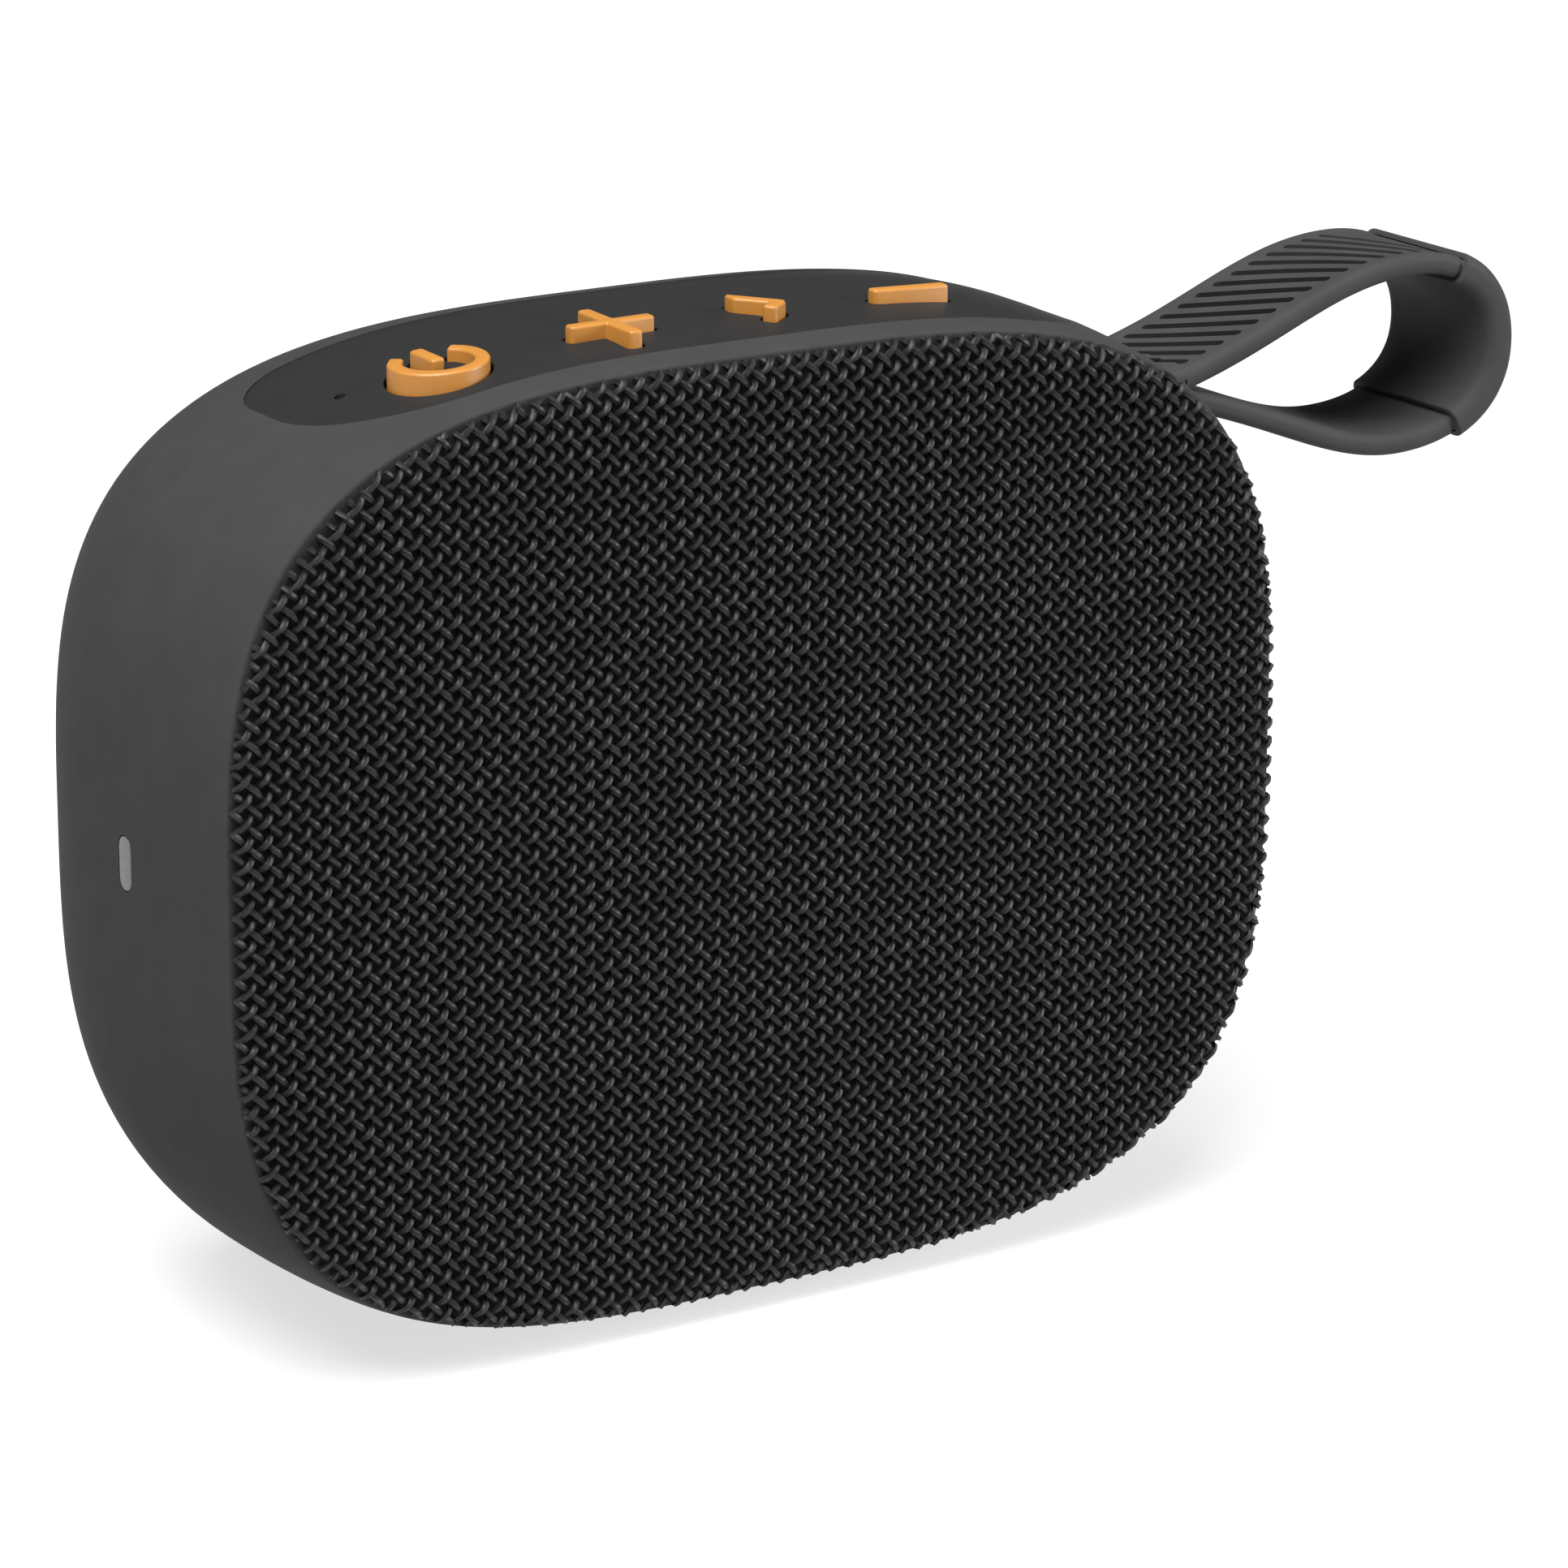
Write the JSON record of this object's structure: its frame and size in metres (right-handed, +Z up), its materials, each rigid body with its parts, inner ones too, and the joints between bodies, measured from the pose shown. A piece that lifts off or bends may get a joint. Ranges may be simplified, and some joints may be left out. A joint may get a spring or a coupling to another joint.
{
  "type": "shower speaker",
  "caption": "Palm-size sealed wireless speaker with a rounded shell, woven fabric grille, raised orange top keys and a silicone finger loop.",
  "frame": {"origin": "middle of the foot pad's flat underside", "axes": "+X to the right along the width, towards the finger loop; +Y from the fabric face to the back; +Z up"},
  "size_m": [0.1501, 0.0448, 0.0917],
  "materials": {
    "shell_plastic": "fine satin",
    "panel_plastic": "soft gloss",
    "key_plastic": "satin",
    "switch_plastic": "matte",
    "grille_cloth": "open plain weave of thick yarn",
    "inner_plastic": "matte",
    "mark_plastic": "satin",
    "silicone": "matte silicone",
    "soft_rubber": "matte",
    "steel": "plain zinc plating",
    "circuit_board": "green solder mask on glass fibre",
    "cone_paper": "matte",
    "coil_copper": "bare copper",
    "spider_cloth": "resin-stiffened cloth",
    "ferrite": "sintered ferrite",
    "radiator_plastic": "matte",
    "chip_plastic": "matte",
    "capacitor_can": "printed sleeve",
    "connector_plastic": "natural nylon",
    "cell_can": "shrink sleeve over a steel can, at the density of a lithium cell",
    "wire_jacket": "plain",
    "flex_film": "polyimide film"
  },
  "bodies": {
    "housing": {"rear_shell": "shell_plastic", "control_panel": "panel_plastic", "grille_fabric": "grille_cloth", "grille_frame": "inner_plastic", "front_baffle": "inner_plastic", "driver_basket": "inner_plastic", "radiator_frame": "inner_plastic", "battery_bracket": "inner_plastic", "side_mark": "mark_plastic", "foot_pad": "silicone", "button_seal": "silicone", "baffle_gasket": "silicone", "driver_surround": "soft_rubber", "driver_gasket": "soft_rubber", "radiator_surround": "soft_rubber", "strap_pin": "steel", "key_board_screws": "steel", "baffle_screws": "steel", "driver_top_plate": "steel", "driver_yoke": "steel", "driver_screws": "steel", "board_screws": "steel", "usb_socket": "steel", "tact_switches": "steel", "microphone": "steel", "radio_module": "steel", "key_board": "circuit_board", "main_board": "circuit_board", "driver_terminals": "coil_copper", "driver_spider": "spider_cloth", "driver_magnet": "ferrite", "board_chips": "chip_plastic", "board_capacitors": "capacitor_can", "speaker_connector": "connector_plastic", "battery_connector": "connector_plastic", "battery_cell": "cell_can", "speaker_wires": "wire_jacket", "battery_wires": "wire_jacket", "key_ribbon": "flex_film"},
    "power_key": {"power_button": "key_plastic", "power_plunger": "switch_plastic"},
    "volume_up_key": {"volume_up_button": "key_plastic", "volume_up_plunger": "switch_plastic"},
    "play_key": {"play_button": "key_plastic", "play_plunger": "switch_plastic"},
    "volume_down_key": {"volume_down_button": "key_plastic", "volume_down_plunger": "switch_plastic"},
    "finger_loop": {"strap_band": "silicone", "strap_sleeve": "silicone"},
    "port_flap": {"port_cover": "silicone"},
    "driver_diaphragm": {"driver_cone": "cone_paper", "driver_dust_cap": "cone_paper", "driver_voice_coil": "coil_copper"},
    "radiator_diaphragm": {"radiator_plate": "radiator_plastic", "radiator_weight": "steel"}
  },
  "joints": [
    {"name": "power_press", "type": "slide", "parent": "housing", "child": "power_key", "axis": [0, 0, -1], "range_m": [0, 0.0003], "stiffness_N_per_m": 800},
    {"name": "volume_up_press", "type": "slide", "parent": "housing", "child": "volume_up_key", "axis": [0, 0, -1], "range_m": [0, 0.0003], "stiffness_N_per_m": 800},
    {"name": "play_press", "type": "slide", "parent": "housing", "child": "play_key", "axis": [0, 0, -1], "range_m": [0, 0.0003], "stiffness_N_per_m": 800},
    {"name": "volume_down_press", "type": "slide", "parent": "housing", "child": "volume_down_key", "axis": [0, 0, -1], "range_m": [0, 0.0003], "stiffness_N_per_m": 800},
    {"name": "loop_swing", "type": "hinge", "parent": "housing", "child": "finger_loop", "pos_m": [0.0465, -0.00005, 0.07705], "axis": [0, 1, 0], "range_deg": [-20, 25], "stiffness_Nm_per_rad": 0.12},
    {"name": "port_flap_hinge", "type": "hinge", "parent": "housing", "child": "port_flap", "pos_m": [0, 0.0217, 0.03265], "axis": [1, 0, 0], "range_deg": [0, 100], "stiffness_Nm_per_rad": 0.001},
    {"name": "driver_throw", "type": "slide", "parent": "housing", "child": "driver_diaphragm", "axis": [0, -1, 0], "range_m": [-0.001, 0.001], "stiffness_N_per_m": 1500, "deforming": ["driver_surround", "driver_spider"]},
    {"name": "radiator_throw", "type": "slide", "parent": "housing", "child": "radiator_diaphragm", "axis": [0, -1, 0], "range_m": [-0.001, 0.001], "stiffness_N_per_m": 1500, "deforming": ["radiator_surround"]}
  ]
}
